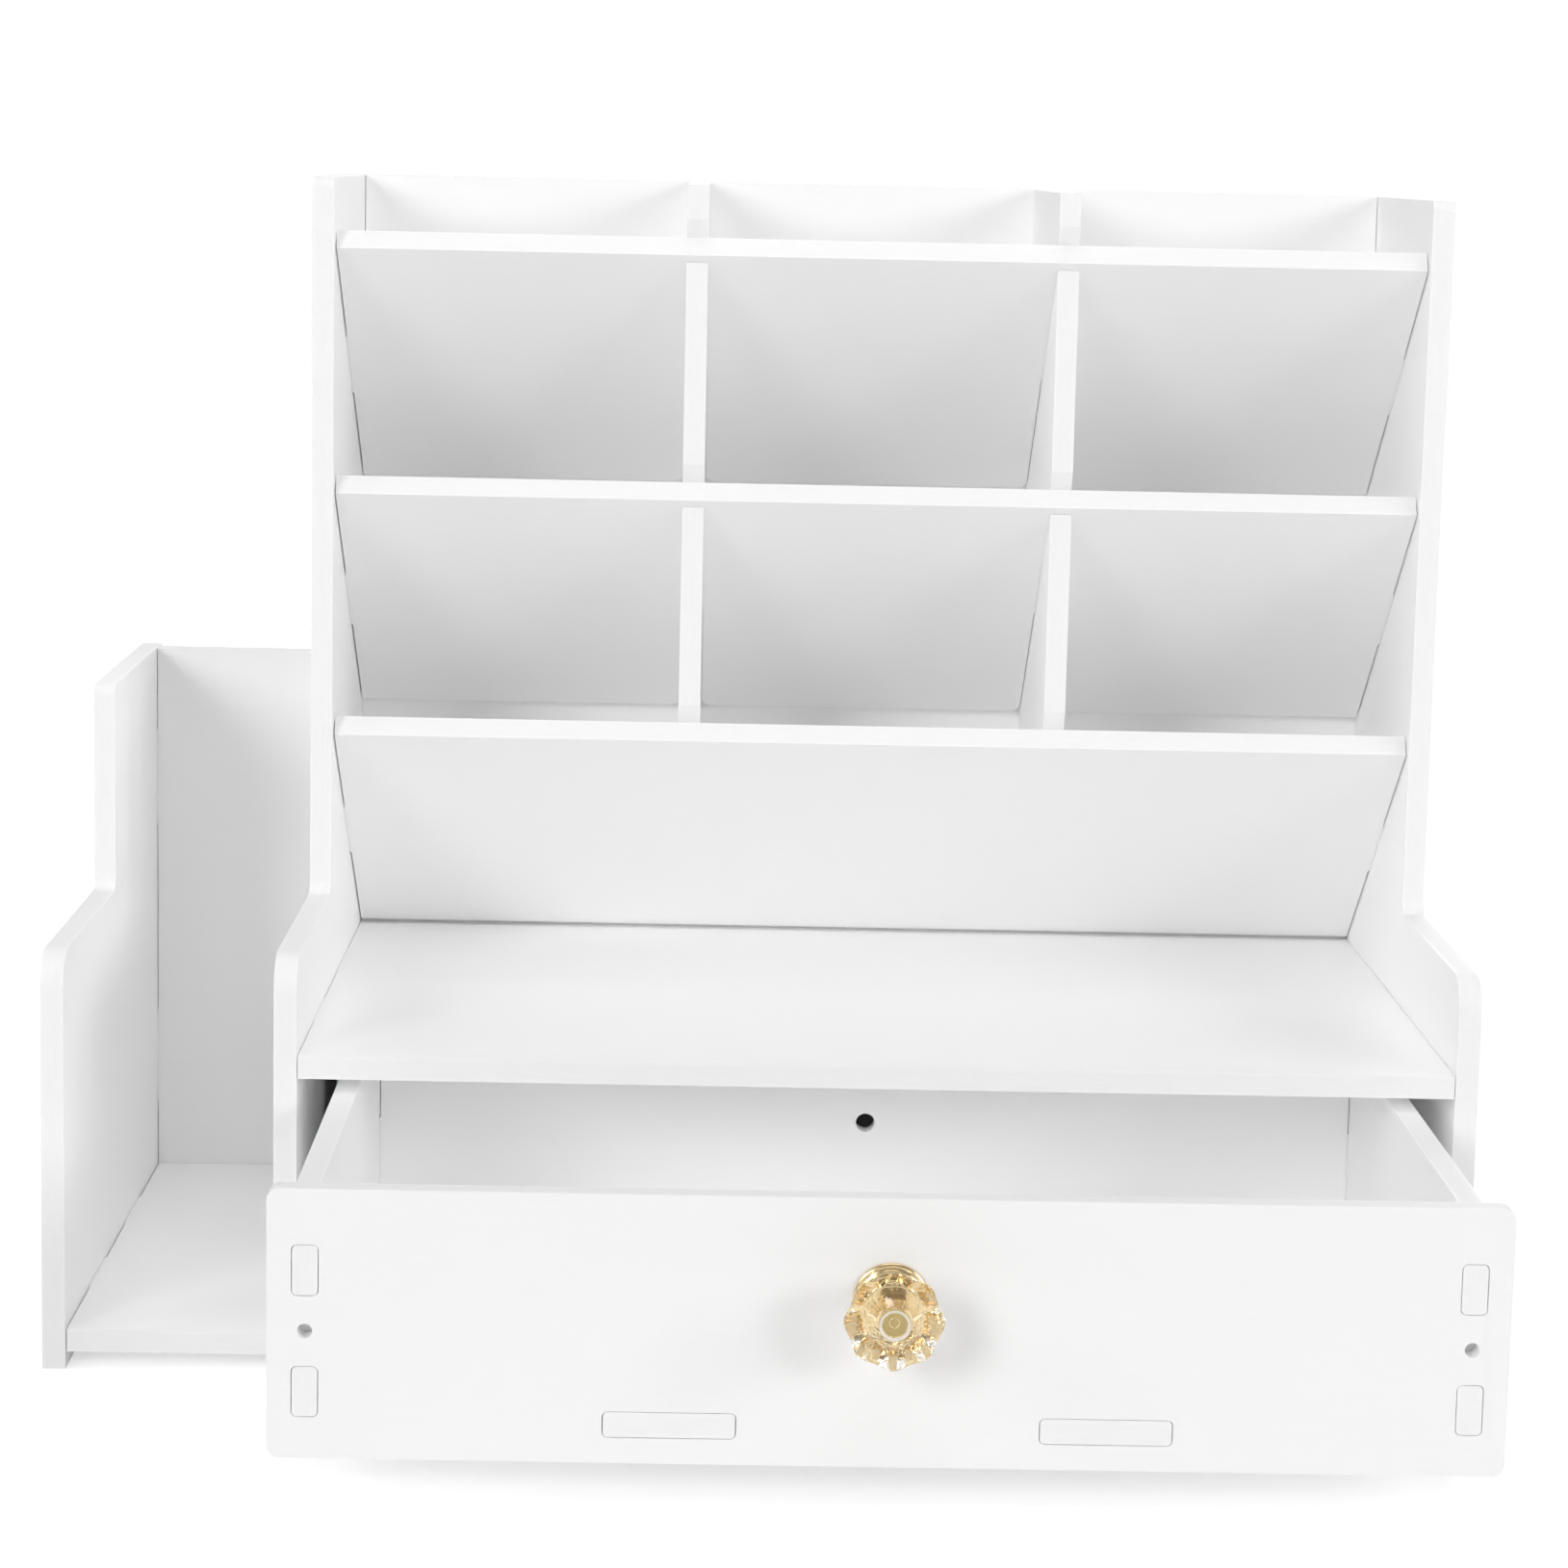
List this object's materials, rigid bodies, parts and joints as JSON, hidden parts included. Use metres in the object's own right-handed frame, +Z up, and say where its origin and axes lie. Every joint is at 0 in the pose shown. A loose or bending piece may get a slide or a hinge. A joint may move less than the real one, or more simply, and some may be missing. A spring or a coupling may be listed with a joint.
{
  "type": "desk pen holder with drawer",
  "caption": "White slot-together desk organizer with slanted pen compartments, a shelf, a side file bay and a drawer with a faceted crystal knob.",
  "frame": {"origin": "middle of the footprint on the desk, with the drawer pulled out as it rests", "axes": "+X to the right as seen from the front, +Y to the back, +Z up"},
  "size_m": [0.31, 0.2716, 0.257],
  "materials": {
    "white_board": "white faced fibreboard with plain cut edges",
    "knob_brass": "polished gold-coloured metal",
    "crystal": "clear faceted crystal",
    "screw_steel": "plain steel"
  },
  "bodies": {
    "cabinet": {"outer_side": "white_board", "left_side": "white_board", "right_side": "white_board", "back_panel": "white_board", "base_panel": "white_board", "shelf": "white_board", "file_back": "white_board", "file_floor": "white_board", "upper_slope": "white_board", "middle_slope": "white_board", "lower_slope": "white_board", "left_divider": "white_board", "right_divider": "white_board"},
    "drawer": {"drawer_front": "white_board", "drawer_back": "white_board", "drawer_left": "white_board", "drawer_right": "white_board", "drawer_bottom": "white_board", "knob_base": "knob_brass", "knob_crystal": "crystal", "knob_screw": "screw_steel"}
  },
  "joints": [
    {"name": "drawer_slide", "type": "slide", "parent": "cabinet", "child": "drawer", "axis": [0, -1, 0], "range_m": [-0.086, 0.03]}
  ]
}
